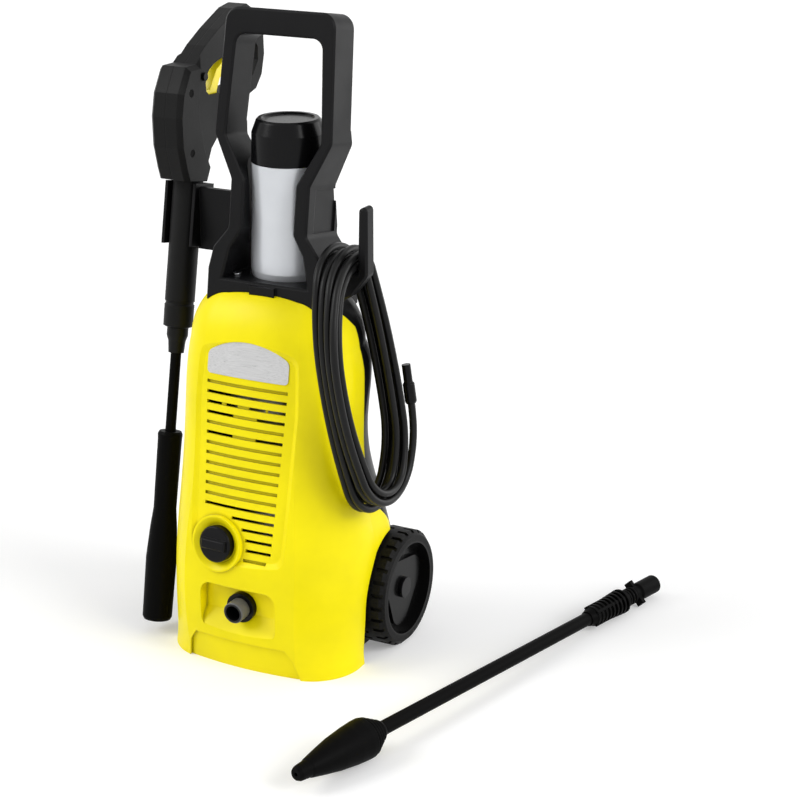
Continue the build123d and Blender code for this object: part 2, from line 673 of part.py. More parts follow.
def foot_block():
    """The space that the handle's feet take, with a seam."""
    face = handle_face()
    feet = HANDLE.location * (Pos(0, 0, -SADDLE_DEEP) * extrude(face, SADDLE_DEEP))
    return feet + casing(-SEAT_GAP)


def make_holder():
    """Forked bracket that carries the gun's barrel at the left upright."""
    low, high = 392.0, BARREL_TO - 2
    inner, outer = BARREL_R + JAW_GAP, BARREL_R + JAW_GAP + JAW
    u_shape = [(-outer, -13), (-inner, -13), (-inner, inner), (inner, inner), (inner, -15), (outer, -15),
               (outer, outer), (-outer, outer)]
    fork = prism(u_shape, LANCE, low, high)
    arm = block((LANCE_X + inner, -30), (88, 94), (400, 464))
    arm -= rod(BOTTLE_R_LOW + BAY_GAP, BOTTLE_SEAT, FAR, Plane((0, BOTTLE_Y, 0)))
    clear = prism([(-inner, -FAR), (inner, -FAR), (inner, inner), (-inner, inner)], LANCE, 0, FAR)
    holder = (fork + arm) - clear - foot_block()
    keep("gun_holder", holder.solids().sort_by(SortBy.VOLUME)[-1])


def make_bottle():
    """Detergent tank with a lid and a valve in its floor."""
    place = Plane((0, BOTTLE_Y, 0))
    low = BOTTLE_SEAT + SEAT_GAP
    outer = [(0, low), (BOTTLE_R_LOW - 5, low), (BOTTLE_R_LOW - 1, low + 3), (BOTTLE_R_LOW, low + 10),
             (BOTTLE_R_TOP, BOTTLE_TOP), (0, BOTTLE_TOP)]
    hollow = [(0, low + 2), (BOTTLE_R_LOW - 6, low + 2), (BOTTLE_R_LOW - BOTTLE_WALL, low + 10),
              (BOTTLE_R_TOP - BOTTLE_WALL, BOTTLE_TOP + 1), (0, BOTTLE_TOP + 1)]
    keep("bottle", turned(outer, place) - turned(hollow, place) - rod(VALVE_R, low - 1, low + 5, place))
    lip = BOTTLE_TOP + 0.2
    lid = [(0, lip), (BOTTLE_R_TOP + 0.3, lip), (BOTTLE_R_TOP - 0.5, LID_TOP - 14), (LID_R_TOP, LID_TOP - 2),
           (LID_R_TOP - 2, LID_TOP), (LID_R_TOP - 6, LID_TOP), (LID_R_TOP - 8, LID_TOP - 2), (0, LID_TOP - 2)]
    inside = [(0, lip - 1), (BOTTLE_R_TOP - 5, lip - 1), (LID_R_TOP - 4, LID_TOP - 6), (0, LID_TOP - 6)]
    keep("bottle_lid", turned(lid, place) - turned(inside, place))
    keep("bottle_valve", tube(VALVE_R, 3, low, low + 12, place))


def make_hose():
    """High-pressure hose in hanging turns; it spirals in and out and steps in a layer at each turning."""
    quarters = 4 * TURNS_A_LAYER * HOSE_LAYERS

    def state(quarter):
        """Radial place and layer of a point, counted in steps from the outside and from the machine."""
        turn = quarter / 4
        phase = turn % (2 * TURNS_A_LAYER)
        inward = min(phase, 2 * TURNS_A_LAYER - phase)
        layer = min(int(turn / TURNS_A_LAYER), HOSE_LAYERS - 1)
        since = turn - layer * TURNS_A_LAYER
        if layer and since < 0.25:
            layer -= 0.5 - 2 * since
        elif layer < HOSE_LAYERS - 1 and since > TURNS_A_LAYER - 0.25:
            layer += 0.5 - 2 * (TURNS_A_LAYER - since)
        out = HOSE_LAYERS - 1 - layer
        seat = ceil(out) if inward > 1 else floor(out)
        if quarter in (0, quarters):
            inward = -0.5
        if quarter == 0:
            out += 0.4
        return inward, out, seat

    def station(quarter):
        """Place and direction of the hose at each quarter of a turn: back, bottom, front, top."""
        inward, out, seat = state(quarter)
        step = inward * HOSE_PITCH
        x = HOSE_X + out * LAYER_STEP
        nest = seat * LAYER_LIFT
        which = quarter % 4
        if which == 0:
            return Vector(x + LEAN_OUT_BACK, COIL_BACK[0] - step - nest, COIL_BACK[1]), Vector(0.15, 0, -1)
        if which == 1:
            return Vector(x + LEAN_OUT_LOW, COIL_LOW[0], COIL_LOW[1] + step + nest), Vector(0, -1, 0)
        if which == 2:
            return Vector(x + LEAN_OUT_FRONT, COIL_FRONT[0] + step - nest, COIL_FRONT[1]), Vector(-0.14, 0, 1)
        return Vector(x, COIL_TOP[0], COIL_TOP[1] - step), Vector(0, 1, 0)

    stations = [station(quarter) for quarter in range(quarters + 1)]
    tail = 2 * HOSE_R
    first, heading = stations[0][0], stations[0][1].normalized()
    last, leaving = stations[-1][0], stations[-1][1].normalized()
    edges = [Line(first - heading * tail, first)]
    for quarter, ((start, along), (end, onward)) in enumerate(zip(stations, stations[1:])):
        inset = HOSE_PITCH * (state(quarter)[0] + state(quarter + 1)[0]) / 2
        edges += biarc(start, along.normalized(), end, onward.normalized(), inset)
    edges.append(Line(last, last + leaving * tail))
    path = Wire(edges)
    print(f"hose: {path.length:.0f} mm long, least gap to itself {least_gap(edges):.2f} mm")
    section = Plane(origin=path @ 0, z_dir=path % 0) * Circle(HOSE_R)
    keep("hose_coil", sweep(section, path=path))
    ends = [Plane(origin=path @ 0, z_dir=-(path % 0)), Plane(origin=path @ 1, z_dir=path % 1)]
    fitting = [(0, 0), (FITTING_R - 1, 0), (FITTING_R, 2), (FITTING_R, 20), (4.5, 22), (4.5, FITTING_LONG),
               (0, FITTING_LONG)]
    keep("hose_fittings", Compound([turned(fitting, place).solid() for place in ends]))


def biarc(start, along, end, onward, inset):
    """Two arcs that meet smoothly, split as in the outermost turn, so that turns run parallel."""
    across = end - start
    ahead, aside = across.dot(along), across.dot(onward)
    wide = BEND_SHARE * (min(ahead, aside) + inset) / (max(ahead, aside) + inset)
    one = radians(wide if ahead > aside else 90 - wide)
    two = radians(90) - one
    scale = sin(one) * sin(two) - (1 - cos(one)) * (1 - cos(two))
    near_r = (ahead * sin(two) - aside * (1 - cos(two))) / scale
    far_r = (aside * sin(one) - ahead * (1 - cos(one))) / scale
    share = far_r * tan(two / 2) / (near_r * tan(one / 2))
    lean = across.dot(along + onward * share)
    spread = 2 * share * (1 - along.dot(onward))
    reach = (sqrt(lean ** 2 + spread * across.dot(across)) - lean) / spread
    near, far = start + along * reach, end - onward * reach * share
    joint = (near * share + far) * (1 / (1 + share))
    return [TangentArc(start, joint, tangent=along), TangentArc(joint, end, tangent=far - near)]


def least_gap(edges):
    """Least clear space between turns, on points along the hose that are not neighbours."""
    points = [edge @ (i / 8) for edge in edges for i in range(8)]
    apart = 40
    nearest = FAR
    for index, one in enumerate(points):
        for other in points[index + apart:]:
            nearest = min(nearest, (one - other).length)
    return nearest - 2 * HOSE_R


# Gun and lance
LANCE = Plane(origin=(LANCE_X, LANCE_Y, LANCE_Z), x_dir=(1, 0, 0),
              z_dir=(0, sin(radians(LANCE_LEAN)), cos(radians(LANCE_LEAN))))


def gun_outline():
    """Side view of the gun: barrel housing, raised grip and hand guard."""
    return [(72, 466), (66, 484), (60, 508), (59.5, 538), (65, 562), (80, 586), (99, 586), (121, 601),
            (146, 614), (183, 630), (202, 633), (222, 622), (234, 600), (235, 577), (229, 556), (217, 543),
            (190, 536), (160, 531), (147, 512), (127, 496), (117, 478), (108, 462)]


def cheek_outline(back):
    """Side view of the thinner part of the gun, whose front edge lies further back by the given length."""
    edge = [(106, 660), (101, 590), (96, 560), (95, 530), (101, 502), (112, 478), (118, 440)]
    return [(y + back, z) for y, z in edge] + [(280, 440), (280, 660)]


def cheek_cutter(side):
    """What is cut off one side of the gun, so that its front bulge slopes down to a flat cheek."""
    flat = Polyline(*cheek_outline(CHEEK_FLARE), close=True)
    bulge = Polyline(*cheek_outline(0), close=True)
    deep = Plane.YZ.offset(LANCE_X + side * CHEEK_HALF) * make_face(flat)
    proud = Plane.YZ.offset(LANCE_X + side * (GUN_HALF + 1)) * make_face(bulge)
    return loft([deep, proud], ruled=True)


def guard_opening():
    return [(126, 550.5), (120.5, 555), (119.6, 562.6), (122.6, 571.8), (127, 576.3), (134, 580), (143, 583),
            (168, 588), (200, 600), (213, 598), (222, 586), (222, 572), (211, 558), (185, 551), (160, 549)]


def trigger_outline():
    """Curved lever, with a heel before its pin that presses the valve rod."""
    return [(135, 538), (119.7, 551.9), (110.9, 553.7), (112, 558), (134, 554), (139, 562), (148, 573),
            (169, 584), (196, 596), (193, 588), (170, 574), (153, 563), (147, 552), (145, 538)]


def trigger_room():
    """Slot inside the gun for the trigger's whole swing."""
    return [(131, 533.5), (106, 545), (104, 561), (124, 566), (134, 576), (150, 590), (172, 602), (200, 612),
            (206, 600), (170, 574), (152, 556), (149, 533.5)]


def make_gun():
    middle = LANCE_X
    body = side_prism(gun_outline(), middle - GUN_HALF, middle + GUN_HALF)
    body -= side_prism(guard_opening(), middle - FAR, middle + FAR)
    body = chamfer(body.faces().filter_by(Axis.X).edges(), 4.5)
    body -= cheek_cutter(1) + cheek_cutter(-1)
    body -= rod(FAR / 6, -FAR, BARREL_TO, LANCE)
    body -= side_prism(trigger_room(), middle - TRIGGER_HALF - 0.7, middle + TRIGGER_HALF + 0.7)
    valve_low = BARREL_TO + SPIGOT_LONG
    valve_top = valve_low + VALVE_BODY_LONG
    body -= rod(SPIGOT_R + 0.05, BARREL_TO - 1, valve_low, LANCE)
    body -= rod(VALVE_BODY_R + 0.05, valve_low, valve_top, LANCE)
    body -= rod(ROD_R + 2, valve_top, valve_top + ROD_UP + 4, LANCE)
    across = Plane(origin=(middle, PIVOT[0], PIVOT[1]), z_dir=(1, 0, 0))
    body -= rod(TRIGGER_PIN_R, -TRIGGER_HALF - PIN_HOLD, TRIGGER_HALF + PIN_HOLD, across)
    lock = Plane(origin=(middle, LOCK_AT[0], LOCK_AT[1]), z_dir=(1, 0, 0))
    body -= rod(LOCK_R + RUN_FIT, -GUN_HALF - 1, GUN_HALF + 1, lock)
    screws = []
    for y, z, half in GUN_SCREWS:
        place = Plane(origin=(middle, y, z), z_dir=(1, 0, 0))
        seat = half - SCREW_HEAD
        body -= rod(SCREW_R, -half + 4, half, place) + rod(SCREW_HEAD_R, seat, half + 5, place)
        shank = [(0, -half + 4), (SCREW_R, -half + 4), (SCREW_R, seat), (SCREW_HEAD_R, seat),
                 (SCREW_HEAD_R, half - 0.3), (0, half - 0.3)]
        screws.append(turned(shank, place))
    keep("gun_right_half", body & block((middle, middle + FAR), (-FAR, FAR), (0, 2 * FAR)))
    keep("gun_left_half", body & block((middle - FAR, middle), (-FAR, FAR), (0, 2 * FAR)))
    lever = side_prism(trigger_outline(), middle - TRIGGER_HALF, middle + TRIGGER_HALF)
    lever -= rod(TRIGGER_PIN_R + RUN_FIT, -TRIGGER_HALF - 1, TRIGGER_HALF + 1, across)
    keep("trigger", lever)
    keep("trigger_pin", rod(TRIGGER_PIN_R, -TRIGGER_HALF - PIN_HOLD, TRIGGER_HALF + PIN_HOLD, across))
    keep("trigger_lock", rod(LOCK_R, -CHEEK_HALF - LOCK_PROUD, CHEEK_HALF + LOCK_PROUD, lock))
    keep("gun_screws", group(screws))
    valve = rod(VALVE_BODY_R, valve_low, valve_top, LANCE) - rod(5.0, valve_top - 24, valve_top - 2, LANCE)
    keep("valve_body", valve - rod(ROD_R + RUN_FIT, valve_top - 30, valve_top + 1, LANCE))
    keep("valve_rod", rod(ROD_R, valve_top - 25, valve_top + ROD_UP, LANCE))
    keep("trigger_spring", tube(4.9, ROD_R + 0.6, valve_top - 24, valve_top - 2, LANCE))


def make_lance():
    """Barrel, tube and twist nozzle sleeve of the stored lance."""
    collar, neck = BARREL_FROM + 22, BARREL_FROM - 2
    barrel = [(0, neck - 26), (LANCE_TUBE_R + 2.5, neck - 26), (9, neck - 14), (11, neck - 8), (11, neck),
              (BARREL_R - 0.2, neck + 2), (BARREL_R, collar), (BARREL_R - 1, collar + 1),
              (BARREL_R - 1, collar + 3), (BARREL_R, collar + 4), (BARREL_R, BARREL_TO),
              (SPIGOT_R, BARREL_TO),
              (SPIGOT_R, BARREL_TO + SPIGOT_LONG), (0, BARREL_TO + SPIGOT_LONG)]
    tube_top = BARREL_FROM + 32
    socket = rod(LANCE_TUBE_R + RUN_FIT, neck - 30, tube_top, LANCE)
    keep("lance_barrel", turned(barrel, LANCE) - socket)
    keep("lance_tube", rod(LANCE_TUBE_R, 8, tube_top, LANCE))
    top = SLEEVE_LOW + SLEEVE_LONG
    sleeve = [(0, SLEEVE_LOW), (14, SLEEVE_LOW), (15.5, SLEEVE_LOW + 3), (16.2, 62), (14.2, 93), (12, 115),
              (12.6, top - 8), (13, top - 3), (11.5, top), (0, top)]
    keep("nozzle_sleeve", turned(sleeve, LANCE) - rod(LANCE_TUBE_R + RUN_FIT, SLEEVE_LOW - 1, top + 1, LANCE))
    keep("spray_tip", tube(LANCE_TUBE_R - 0.05, 1.2, SLEEVE_LOW + 2, 8, LANCE))


# Rotary lance
def blaster_place():
    turn, dip = radians(BLASTER_TURN), radians(BLASTER_DIP)
    along = (sin(turn) * cos(dip), cos(turn) * cos(dip), -sin(dip))
    return Plane(origin=(*BLASTER_TIP, BLASTER_UP), x_dir=(cos(turn), -sin(turn), 0), z_dir=along)


def make_blaster():
    """Bullet-shaped rotary head on a long tube, with a ribbed grip and a bayonet end."""
    place = blaster_place()
    shell = [(0, 0), (6, 0), (7.5, 3), (8.5, 14), (9.5, 16), (13, 32), (16.5, 50), (19, 70), (HEAD_R, 84),
             (HEAD_R, 90)]
    for step in range(4):
        ridge = HEAD_R - 1 - 2.6 * step
        shell += [(ridge - 1.4, 90 + 5 * step), (ridge, 92 + 5 * step), (ridge, 94 + 5 * step)]
    shell += [(BLASTER_TUBE_R + 1.5, HEAD_LONG), (0, HEAD_LONG)]
    cavity = [(0, 12), (3, 12), (9, 34), (14, 60), (15, 84), (0, 84)]
    socket = rod(BLASTER_TUBE_R, 84, HEAD_LONG + 1, place)
    keep("blaster_head", turned(shell, place) - turned(cavity, place) - socket - rod(2, -1, 13, place))
    spinner = [(0, 14), (2, 14), (7, 36), (11, 60), (11, 80), (0, 80)]
    keep("blaster_rotor", turned(spinner, place))
    pipe = tube(BLASTER_TUBE_R, 4.5, 84, BLASTER_TUBE_TO + 30, place)
    keep("blaster_tube", pipe + rod(3, 80.3, 84.5, place) + tube(BLASTER_TUBE_R, 2.9, 84, 88, place))
    core = [(0, BLASTER_TUBE_TO), (8, BLASTER_TUBE_TO), (10, BLASTER_TUBE_TO + 8), (10.5, GRIP_TO),
            (8, GRIP_TO + 1)]
    for step in range(3):
        at = GRIP_TO + 1 + 5 * step
        core += [(7.5, at + 0.5), (9.5, at + 1.5), (9.5, at + 3.5), (7.5, at + 4.5)]
    core += [(8, GRIP_TO + 18), (8, GRIP_TO + 24), (10, GRIP_TO + 26), (10, BLASTER_TO - 1), (9, BLASTER_TO),
             (0, BLASTER_TO)]
    grip = turned(core, place)
    ribs = 9
    run = (GRIP_TO - BLASTER_TUBE_TO - 10) / ribs
    for index in range(ribs):
        at = BLASTER_TUBE_TO + 8 + index * run
        half = 10.5 + (GRIP_HALF - 10.5) * index / (ribs - 1)
        grip += rod(half, at, at + run * 0.45, place)
    rail = 3.0
    for turn in (45, 135, 225, 315):
        tip = (GRIP_HALF - 3) * 0.98
        spot = Rot(0, 0, turn) * Pos(tip - 1, 0, (BLASTER_TUBE_TO + GRIP_TO) / 2 + 3)
        grip += place.location * spot * Box(5, rail, GRIP_TO - BLASTER_TUBE_TO - 8)
    for turn in (45, 225):
        grip += place.location * Rot(0, 0, turn) * Pos(10, 0, GRIP_TO + 22) * Box(8, 9, 5)
    grip -= rod(BLASTER_TUBE_R, BLASTER_TUBE_TO - 1, BLASTER_TUBE_TO + 30, place)
    keep("blaster_grip", grip - rod(4, BLASTER_TUBE_TO, BLASTER_TO + 1, place))


# Drive and pump
UNIT = Plane((0, UNIT_Y, 0))


def around(count, ring_r, start=0.0):
    """Places spread evenly round the unit's axis."""
    turns = [radians(start + index * 360 / count) for index in range(count)]
    return [Plane((ring_r * cos(turn), UNIT_Y + ring_r * sin(turn), 0)) for turn in turns]


def group(shapes):
    return Compound([shape.solid() for shape in shapes])


def make_pump():
    """Cylinder block, pistons on springs and a valve head under them."""
    valve_r, valve_low = 4.0, PUMP_LOW - 18
    pistons = around(PISTONS, PISTON_RING, 90)
    valves = around(2 * PISTONS, 27)
    head = block((-HEAD_HALF, HEAD_HALF), (UNIT_Y - HEAD_HALF, UNIT_Y + HEAD_HALF), (HEAD_LOW, PUMP_LOW))
    for place in valves:
        head -= rod(valve_r, valve_low, PUMP_LOW + 1, place)
    front = UNIT_Y - HEAD_HALF
    bore = rod(4.5, -front - 15, FAR / 10, Plane(origin=(0, 0, OUTLET_Z), z_dir=(0, -1, 0)))
    head -= bore & block((-9, 9), (0, front + 15), (0, PUMP_LOW))
    keep("cylinder_head", head)
    keep("check_valves", group([rod(valve_r - RUN_FIT, valve_low, PUMP_LOW - 4, place) for place in valves]))
    housing = rod(PUMP_R, PUMP_LOW, MOTOR_LOW, UNIT) - rod(PUMP_R - 6, CHAMBER_FLOOR, MOTOR_LOW + 1, UNIT)
    seal_low, seal_top = PUMP_LOW + 8, PUMP_LOW + 11
    seals = []
    for place in pistons:
        housing -= rod(PISTON_R + RUN_FIT, PUMP_LOW - 1, CHAMBER_FLOOR + 1, place)
        housing -= tube(PISTON_R + 2, PISTON_R, seal_low, seal_top, place)
        seals.append(tube(PISTON_R + 1.9, PISTON_R + RUN_FIT, seal_low, seal_top, place))
    keep("pump_housing", housing)
    keep("piston_seals", group(seals))
    crown = CHAMBER_FLOOR + 6
    piston = [(0, PUMP_LOW + 4), (PISTON_R, PUMP_LOW + 4), (PISTON_R, crown), (PISTON_R + 2, crown),
              (PISTON_R + 2, crown + 3), (0, crown + 3)]
    keep("pump_pistons", group([turned(piston, place) for place in pistons]))
    springs = [tube(PISTON_R + 2, PISTON_R + 0.6, CHAMBER_FLOOR, crown, place) for place in pistons]
    keep("piston_springs", group(springs))
    keep("pressure_switch", block((-HEAD_HALF - 26, -HEAD_HALF), (UNIT_Y - 12, UNIT_Y + 12), (56, 84)))


def make_motor():
    """Upright motor over the pump; its shaft carries the swash plate below and the fan above."""
    can = rod(MOTOR_R, MOTOR_LOW, MOTOR_TOP, UNIT)
    can -= rod(MOTOR_R - MOTOR_WALL, MOTOR_LOW + PLATE, MOTOR_TOP - PLATE, UNIT)
    can -= rod(BEARING_R, MOTOR_LOW - 1, MOTOR_TOP + 1, UNIT)
    keep("motor_housing", can)
    seats = (MOTOR_LOW, MOTOR_TOP - PLATE)
    bearings = [tube(BEARING_R, SHAFT_R + RUN_FIT, low, low + PLATE, UNIT) for low in seats]
    keep("motor_bearings", group(bearings))
    keep("motor_stator", tube(MOTOR_R - MOTOR_WALL, STATOR_R, STATOR_LOW, STATOR_TOP, UNIT))
    swash_low = CHAMBER_FLOOR + 16
    swash_top = MOTOR_LOW - 4
    fan_low = MOTOR_TOP + 4
    shaft = rod(SHAFT_R, swash_low - 4, fan_low + FAN_HIGH, UNIT)
    keep("motor_rotor", shaft + rod(ROTOR_R, STATOR_LOW + 3, STATOR_TOP - 3, UNIT))
    swash = rod(30, swash_low - 8, swash_top, UNIT)
    tilt = UNIT.location * Pos(0, 0, swash_low) * Rot(11, 0, 0) * Pos(0, 0, -50) * Box(200, 200, 100)
    keep("swash_plate", swash - tilt - rod(SHAFT_R, 0, FAR, UNIT))
    fan = rod(12, fan_low, fan_low + FAN_HIGH, UNIT) + rod(FAN_R, fan_low, fan_low + 2, UNIT)
    for index in range(FAN_BLADES):
        blade = Pos((FAN_R + 8) / 2, 0, fan_low + FAN_HIGH / 2) * Rot(0, 0, 25) * Box(FAN_R - 14, 2, FAN_HIGH)
        fan += UNIT.location * Rot(0, 0, index * 360 / FAN_BLADES) * blade
    keep("motor_fan", fan - rod(SHAFT_R, 0, FAR, UNIT))
    side = Plane((MOTOR_R + CAPACITOR_R + 0.2, UNIT_Y, 0))
    keep("capacitor", rod(CAPACITOR_R, CAPACITOR_LOW, CAPACITOR_LOW + CAPACITOR_HIGH, side))


def make_suction_pipe():
    """Detergent pipe from the bottle's seat down behind the motor to the inlet."""
    behind = UNIT_Y + MOTOR_R + SUCTION_R + 2
    points = [(0, BOTTLE_Y, BOTTLE_SEAT), (0, BOTTLE_Y, CASING_TOP - 22), (0, behind, CASING_TOP - 50),
              (0, behind, INLET_Z + INLET_R + 0.1)]
    path = FilletPolyline(*points, radius=14)
    section = Plane(origin=path @ 0, z_dir=path % 0) * Circle(SUCTION_R)
    keep("detergent_pipe", sweep(section, path=path))


def make_back():
    """Net pocket, cable hook, cable gland and casing screws on the rear shell."""
    back = CASING_BACK + SEAT_GAP
    foot = NET_LOW + 12
    deep, over = back + NET_BULGE, NET_TOP + 1
    bag = [(back, NET_LOW), (deep - 8, NET_LOW), (deep, foot), (back + 5, NET_TOP), (back, NET_TOP)]
    inner = [(back + NET_WALL, NET_LOW + NET_WALL), (deep - 9, NET_LOW + NET_WALL), (deep - NET_WALL, foot),
             (back + 4 + NET_WALL, over), (back + NET_WALL - 1, over)]
    inside = side_prism(inner, -NET_HALF + NET_WALL, NET_HALF - NET_WALL)
    keep("rear_net_pocket", side_prism(bag, -NET_HALF, NET_HALF) - inside)
    prong = [(88, 150), (112, 164), (122, 174), (121, 176), (108, 171), (88, 172)]
    keep("rear_hook", side_prism(prong, 82, 92) - casing(-SEAT_GAP))
    gland = Plane(origin=(GLAND_AT[0], CASING_BACK, GLAND_AT[1]), z_dir=(0, 1, 0))
    keep("cable_gland", tube(GLAND_R, 4, -WALL - 4, 6, gland) + tube(GLAND_R + 3, 4, 0, 3, gland))
    head = [(0, -2 * WALL), (SCREW_R, -2 * WALL), (SCREW_R, 0), (SCREW_HEAD_R, 0), (SCREW_HEAD_R, SCREW_HEAD),
            (0, SCREW_HEAD)]
    places = [Plane(origin=(x, CASING_BACK, z), z_dir=(0, 1, 0)) for x, z in SCREW_PLACES]
    keep("casing_screws", group([turned(head, place) for place in places]))


make_front_shell()
make_rear_shell()
make_base_plate()
make_knob()
make_ports()
make_wheels()
make_handle()
make_hook()
make_holder()
make_bottle()
make_hose()
make_gun()
make_lance()
make_blaster()
make_pump()
make_motor()
make_suction_pipe()
make_back()
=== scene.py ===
# %% [markdown]
# # An upright pressure washer, dressed for its picture
# The rigid pieces of this machine arrive as solids at their real size: casing, handle, wheels, gun and lances.
# Blender gives them their finishes, and makes what is soft: the hose on its hook and the net bag at the back.
# Everything is in metres, with the floor at zero and the front of the machine towards -Y.

# %% Load the frame
from math import ceil, cos, floor, pi, radians, sin, sqrt, tan

import bpy
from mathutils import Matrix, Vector


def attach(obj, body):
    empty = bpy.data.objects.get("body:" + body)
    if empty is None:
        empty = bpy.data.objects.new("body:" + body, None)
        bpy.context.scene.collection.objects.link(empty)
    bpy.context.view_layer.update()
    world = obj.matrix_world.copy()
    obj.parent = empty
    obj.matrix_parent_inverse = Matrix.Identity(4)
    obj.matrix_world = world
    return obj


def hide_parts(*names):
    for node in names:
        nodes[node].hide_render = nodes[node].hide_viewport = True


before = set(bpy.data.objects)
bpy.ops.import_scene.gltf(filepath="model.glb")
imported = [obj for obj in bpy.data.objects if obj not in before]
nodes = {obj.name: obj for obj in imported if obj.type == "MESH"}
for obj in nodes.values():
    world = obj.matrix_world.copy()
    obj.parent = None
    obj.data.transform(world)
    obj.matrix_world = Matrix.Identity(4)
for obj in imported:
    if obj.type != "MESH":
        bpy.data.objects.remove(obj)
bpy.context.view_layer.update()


# %% [markdown]
# ## The camera
# The picture was taken from the right and a little above. A long lens keeps the upright lines nearly parallel,
# so the camera stands almost two metres away. It is placed by its viewing direction and not by an aim point.

# %% Camera
view_turn, view_dip = radians(27.0), radians(19.6)
camera_place = (0.9376, -1.5166, 0.914)
focal_pixels, picture_pixels, sensor_width = 1925, 800, 36.0
looking = Vector((-sin(view_turn) * cos(view_dip), cos(view_turn) * cos(view_dip), -sin(view_dip)))
bpy.ops.object.select_all(action="DESELECT")
bpy.ops.object.camera_add(location=camera_place)
camera = bpy.context.object
camera.rotation_euler = looking.to_track_quat("-Z", "Y").to_euler()
camera.data.sensor_width = sensor_width
camera.data.lens = focal_pixels / picture_pixels * sensor_width
bpy.context.scene.camera = camera
print("lens", round(camera.data.lens, 1), "mm")


# %% [markdown]
# ## The hose
# A high-pressure hose is stiff, so it hangs on the hook in long even loops. A curve with a round bevel is the
# natural way to make it: one unbroken line, wound turn by turn. Four places fix each turn, at the back, the
# bottom, the front and over the hook. Each quarter between two of them is a pair of arcs that meet smoothly, a
# wide one and a tight one. The loops spiral in and out again, and move one layer nearer to the machine whenever
# the spiral turns round.

# %% Hose marks
hose_radius = 0.0038
turn_step, layer_step, layer_lift = 0.009, 0.0089, 0.0055
turns_a_layer, layers = 2, 4
quarters = 4 * turns_a_layer * layers
hook_x = 0.0706
over_hook, at_front = (0.045, 0.436), (-0.020, 0.330)
at_bottom, at_back = (0.037, 0.169), (0.1055, 0.262)
lean_front, lean_back, lean_low = 0.017, 0.030, 0.040


def winding(quarter):
    """How many steps in from the outermost turn, and out from the machine, the hose lies at a quarter mark."""
    turn = quarter / 4
    phase = turn % (2 * turns_a_layer)
    inward = min(phase, 2 * turns_a_layer - phase)
    layer = min(int(turn / turns_a_layer), layers - 1)
    since = turn - layer * turns_a_layer
    if layer and since < 0.25:
        layer -= 0.5 - 2 * since
    elif layer < layers - 1 and since > turns_a_layer - 0.25:
        layer += 0.5 - 2 * (turns_a_layer - since)
    out = layers - 1 - layer
    seat = ceil(out) if inward > 1 else floor(out)
    if quarter in (0, quarters):
        inward = -0.5
    if quarter == 0:
        out += 0.4
    return inward, out, seat


def hose_mark(quarter):
    """Place and direction of the hose at the back, bottom, front and top of each turn."""
    inward, out, seat = winding(quarter)
    step, x, nest = inward * turn_step, hook_x + out * layer_step, seat * layer_lift
    which = quarter % 4
    if which == 0:
        return Vector((x + lean_back, at_back[0] - step - nest, at_back[1])), Vector((0.15, 0, -1)).normalized()
    if which == 1:
        return Vector((x + lean_low, at_bottom[0], at_bottom[1] + step + nest)), Vector((0, -1, 0))
    if which == 2:
        return Vector((x + lean_front, at_front[0] + step - nest, at_front[1])), Vector((-0.14, 0, 1)).normalized()
    return Vector((x, over_hook[0], over_hook[1] - step)), Vector((0, 1, 0))


marks = [hose_mark(quarter) for quarter in range(quarters + 1)]
print(len(marks), "marks along the hose")


# %% [markdown]
# An arc is known by its two ends and by the corner where its end directions meet. Points on it follow from the
# same weighted average that draws a circle in any drawing program; the weight is the cosine of half the bend.

# %% Hose curve
def corners_of_quarter(start, along, end, onward, inset):
    """The corner of each of the two arcs, and the point where they meet."""
    across = end - start
    ahead, aside = across.dot(along), across.dot(onward)
    wide = radians(43) * (min(ahead, aside) + inset) / (max(ahead, aside) + inset)
    one = wide if ahead > aside else pi / 2 - wide
    two = pi / 2 - one
    near_r = ahead * sin(two) - aside * (1 - cos(two))
    far_r = aside * sin(one) - ahead * (1 - cos(one))
    share = far_r * tan(two / 2) / (near_r * tan(one / 2))
    lean = across.dot(along + onward * share)
    spread = 2 * share * (1 - along.dot(onward))
    reach = (sqrt(lean ** 2 + spread * across.dot(across)) - lean) / spread
    near, far = start + along * reach, end - onward * reach * share
    return near, (near * share + far) / (1 + share), far


def arc_points(start, corner, end):
    """Points on one arc, without its end; a point for every ten degrees or so."""
    bend = (corner - start).angle(end - corner)
    weight = cos(bend / 2)
    count = max(3, round(bend / radians(10)))
    points = []
    for index in range(count):
        t = index / count
        shares = (1 - t) ** 2, 2 * t * (1 - t) * weight, t ** 2
        points.append((start * shares[0] + corner * shares[1] + end * shares[2]) / sum(shares))
    return points


def hose_points():
    tail = 2 * hose_radius
    line = [marks[0][0] - marks[0][1] * tail, marks[0][0] - marks[0][1] * tail / 2]
    for quarter, ((start, along), (end, onward)) in enumerate(zip(marks, marks[1:])):
        inset = turn_step * (winding(quarter)[0] + winding(quarter + 1)[0]) / 2
        near, joint, far = corners_of_quarter(start, along, end, onward, inset)
        line += arc_points(start, near, joint) + arc_points(joint, far, end)
    last, leaving = marks[-1]
    return line + [last, last + leaving * tail / 2, last + leaving * tail]


def curve_through(name, points, radius):
    """An open smooth curve with a round section."""
    data = bpy.data.curves.new(name, "CURVE")
    data.dimensions = "3D"
    data.bevel_depth = 1.0
    data.bevel_resolution = 4
    data.resolution_u = 3
    data.use_fill_caps = True
    spline = data.splines.new("NURBS")
    spline.points.add(len(points) - 1)
    for place, point in zip(spline.points, points):
        place.co = (*point, 1.0)
        place.radius = radius
    spline.order_u = 3
    spline.use_endpoint_u = True
    piece = bpy.data.objects.new(name, data)
    bpy.context.collection.objects.link(piece)
    return piece


route = hose_points()
hose = curve_through("hose_on_hook", route, hose_radius)
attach(hose, "machine")
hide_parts("hose_coil")


